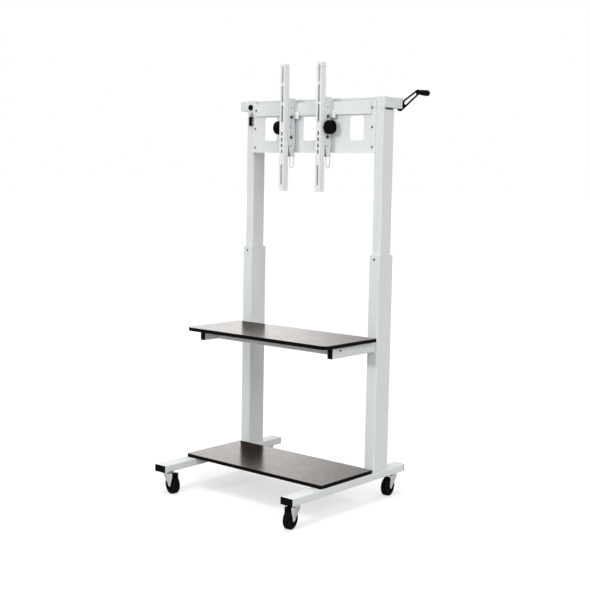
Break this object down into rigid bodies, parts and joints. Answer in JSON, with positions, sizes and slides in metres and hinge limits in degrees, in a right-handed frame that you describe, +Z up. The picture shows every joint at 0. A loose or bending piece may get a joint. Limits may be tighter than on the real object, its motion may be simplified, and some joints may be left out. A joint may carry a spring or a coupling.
{
  "type": "tv cart",
  "caption": "Rolling screen stand: crank-raised telescoping columns on braked swivel casters, with shelves and tilting slotted rails.",
  "frame": {"origin": "on the floor, under the middle of the whole cart's outer box", "axes": "+Z up, -Y towards the screen side, +X towards the crank side"},
  "size_m": [0.755, 0.6594, 1.5479],
  "materials": {
    "white_paint": "satin white powder coat",
    "dark_laminate": "near-black laminate board, half gloss",
    "black_plastic": "matt black moulded plastic",
    "black_rubber": "matt black rubber tread and core",
    "white_plastic": "white moulded plastic",
    "zinc": "zinc-plated pressed steel",
    "steel": "plain machined steel"
  },
  "bodies": {
    "base": {"caster_mount_front_left": "zinc", "caster_mount_front_right": "zinc", "caster_mount_rear_left": "zinc", "caster_mount_rear_right": "zinc", "column_glide_left": "white_plastic", "column_glide_right": "white_plastic", "foot_cap_front_left": "black_plastic", "foot_cap_front_right": "black_plastic", "foot_cap_rear_left": "black_plastic", "foot_cap_rear_right": "black_plastic", "foot_left": "white_paint", "foot_right": "white_paint", "lift_post_left": "steel", "lift_post_right": "steel", "lower_column_left": "white_paint", "lower_column_right": "white_paint", "lower_shelf": "dark_laminate", "shelf_arm_cap_left": "black_plastic", "shelf_arm_cap_right": "black_plastic", "shelf_arm_left": "white_paint", "shelf_arm_right": "white_paint", "shelf_cross_rail": "white_paint", "upper_shelf": "dark_laminate"},
    "lift": {"cross_tube": "white_paint", "gear_housing_left": "white_paint", "gear_housing_right": "white_paint", "housing_plug": "black_plastic", "housing_cap_front": "white_paint", "housing_cap_rear": "white_paint", "head_plate": "white_paint", "lock_eye": "zinc", "upper_column_left": "white_paint", "head_cleat_left": "white_paint", "upper_column_right": "white_paint", "head_cleat_right": "white_paint"},
    "swivel_front_left": {"caster_fork_front_left": "zinc"},
    "wheel_front_left": {"caster_wheel_front_left": "black_rubber"},
    "pedal_front_left": {"caster_pedal_front_left": "black_plastic"},
    "swivel_front_right": {"caster_fork_front_right": "zinc"},
    "wheel_front_right": {"caster_wheel_front_right": "black_rubber"},
    "pedal_front_right": {"caster_pedal_front_right": "black_plastic"},
    "swivel_rear_left": {"caster_fork_rear_left": "zinc"},
    "wheel_rear_left": {"caster_wheel_rear_left": "black_rubber"},
    "swivel_rear_right": {"caster_fork_rear_right": "zinc"},
    "wheel_rear_right": {"caster_wheel_rear_right": "black_rubber"},
    "screw_left": {"lead_screw_left": "steel"},
    "bracket_left": {"tilt_bracket_left": "white_paint"},
    "rail_left": {"screen_rail_left": "white_paint"},
    "knob_left": {"tilt_knob_left": "black_plastic"},
    "pull_left": {"release_pull_left": "steel"},
    "screw_right": {"lead_screw_right": "steel"},
    "bracket_right": {"tilt_bracket_right": "white_paint"},
    "rail_right": {"screen_rail_right": "white_paint"},
    "knob_right": {"tilt_knob_right": "black_plastic"},
    "pull_right": {"release_pull_right": "steel"},
    "cross_shaft": {"cross_shaft": "steel"},
    "crank": {"crank_arm": "black_plastic"},
    "grip": {"crank_grip": "black_plastic"},
    "padlock": {"padlock_body": "black_plastic", "padlock_shackle": "steel"}
  },
  "joints": [
    {"name": "lift_slide", "type": "slide", "parent": "base", "child": "lift", "axis": [0, 0, 1], "range_m": [-0.33, 0.12]},
    {"name": "crank_turn", "type": "hinge", "parent": "lift", "child": "crank", "pos_m": [0.28798, 0.17759, 1.4077], "axis": [0, 1, 0], "range_deg": [-11880, 4320]},
    {"name": "cross_shaft_turn", "type": "hinge", "parent": "lift", "child": "cross_shaft", "pos_m": [-0.01252, 0.17759, 1.4077], "axis": [1, 0, 0], "range_deg": [-11880, 4320]},
    {"name": "screw_turn_left", "type": "hinge", "parent": "lift", "child": "screw_left", "pos_m": [-0.31302, 0.17759, 1], "axis": [0, 0, 1], "range_deg": [-11880, 4320]},
    {"name": "screw_turn_right", "type": "hinge", "parent": "lift", "child": "screw_right", "pos_m": [0.28798, 0.17759, 1], "axis": [0, 0, 1], "range_deg": [-11880, 4320]},
    {"name": "grip_spin", "type": "hinge", "parent": "crank", "child": "grip", "pos_m": [0.36702, 0.17759, 1.44523], "axis": [0, 1, 0], "continuous": true},
    {"name": "swivel_turn_front_left", "type": "hinge", "parent": "base", "child": "swivel_front_left", "pos_m": [-0.31302, -0.26841, 0.08], "axis": [0, 0, 1], "continuous": true},
    {"name": "wheel_spin_front_left", "type": "hinge", "parent": "swivel_front_left", "child": "wheel_front_left", "pos_m": [-0.28643, -0.27309, 0.034], "axis": [0.1736, 0.9848, 0], "continuous": true},
    {"name": "pedal_press_front_left", "type": "hinge", "parent": "swivel_front_left", "child": "pedal_front_left", "pos_m": [-0.27658, -0.27483, 0.0735], "axis": [0.1736, 0.9848, 0], "range_deg": [0, 18]},
    {"name": "swivel_turn_front_right", "type": "hinge", "parent": "base", "child": "swivel_front_right", "pos_m": [0.28798, -0.26841, 0.08], "axis": [0, 0, 1], "continuous": true},
    {"name": "wheel_spin_front_right", "type": "hinge", "parent": "swivel_front_right", "child": "wheel_front_right", "pos_m": [0.29267, -0.295, 0.034], "axis": [0.9848, 0.1736, 0], "continuous": true},
    {"name": "pedal_press_front_right", "type": "hinge", "parent": "swivel_front_right", "child": "pedal_front_right", "pos_m": [0.2944, -0.30484, 0.0735], "axis": [0.9848, 0.1736, 0], "range_deg": [0, 18]},
    {"name": "swivel_turn_rear_left", "type": "hinge", "parent": "base", "child": "swivel_rear_left", "pos_m": [-0.31302, 0.27659, 0.08], "axis": [0, 0, 1], "continuous": true},
    {"name": "wheel_spin_rear_left", "type": "hinge", "parent": "swivel_rear_left", "child": "wheel_rear_left", "pos_m": [-0.30204, 0.25193, 0.034], "axis": [0.9135, 0.4067, 0], "continuous": true},
    {"name": "swivel_turn_rear_right", "type": "hinge", "parent": "base", "child": "swivel_rear_right", "pos_m": [0.28798, 0.27659, 0.08], "axis": [0, 0, 1], "continuous": true},
    {"name": "wheel_spin_rear_right", "type": "hinge", "parent": "swivel_rear_right", "child": "wheel_rear_right", "pos_m": [0.2908, 0.24974, 0.034], "axis": [0.9945, 0.1045, 0], "continuous": true},
    {"name": "bracket_slide_left", "type": "slide", "parent": "lift", "child": "bracket_left", "axis": [1, 0, 0], "range_m": [-0.13, 0.05]},
    {"name": "rail_tilt_left", "type": "hinge", "parent": "bracket_left", "child": "rail_left", "pos_m": [-0.10102, 0.11504, 1.3229], "axis": [1, 0, 0], "range_deg": [-5, 15]},
    {"name": "knob_turn_left", "type": "hinge", "parent": "bracket_left", "child": "knob_left", "pos_m": [-0.10102, 0.11504, 1.3229], "axis": [1, 0, 0], "range_deg": [-720, 0]},
    {"name": "pull_down_left", "type": "slide", "parent": "bracket_left", "child": "pull_left", "axis": [0, 0, -1], "range_m": [0, 0.012], "stiffness_N_per_m": 300, "springref_m": -0.004},
    {"name": "bracket_slide_right", "type": "slide", "parent": "lift", "child": "bracket_right", "axis": [1, 0, 0], "range_m": [-0.05, 0.13]},
    {"name": "rail_tilt_right", "type": "hinge", "parent": "bracket_right", "child": "rail_right", "pos_m": [0.06898, 0.11504, 1.3229], "axis": [1, 0, 0], "range_deg": [-5, 15]},
    {"name": "knob_turn_right", "type": "hinge", "parent": "bracket_right", "child": "knob_right", "pos_m": [0.06898, 0.11504, 1.3229], "axis": [1, 0, 0], "range_deg": [0, 720]},
    {"name": "pull_down_right", "type": "slide", "parent": "bracket_right", "child": "pull_right", "axis": [0, 0, -1], "range_m": [0, 0.012], "stiffness_N_per_m": 300, "springref_m": -0.004},
    {"name": "padlock_swing", "type": "hinge", "parent": "lift", "child": "padlock", "pos_m": [-0.30402, 0.13654, 1.3779], "axis": [1, 0, 0], "range_deg": [-80, 0]}
  ],
  "couplings": [
    {"joint": "crank_turn", "follows": "lift_slide", "rad_per_m": 628.31},
    {"joint": "cross_shaft_turn", "follows": "lift_slide", "rad_per_m": 628.31},
    {"joint": "screw_turn_left", "follows": "lift_slide", "rad_per_m": 628.31},
    {"joint": "screw_turn_right", "follows": "lift_slide", "rad_per_m": 628.31}
  ]
}
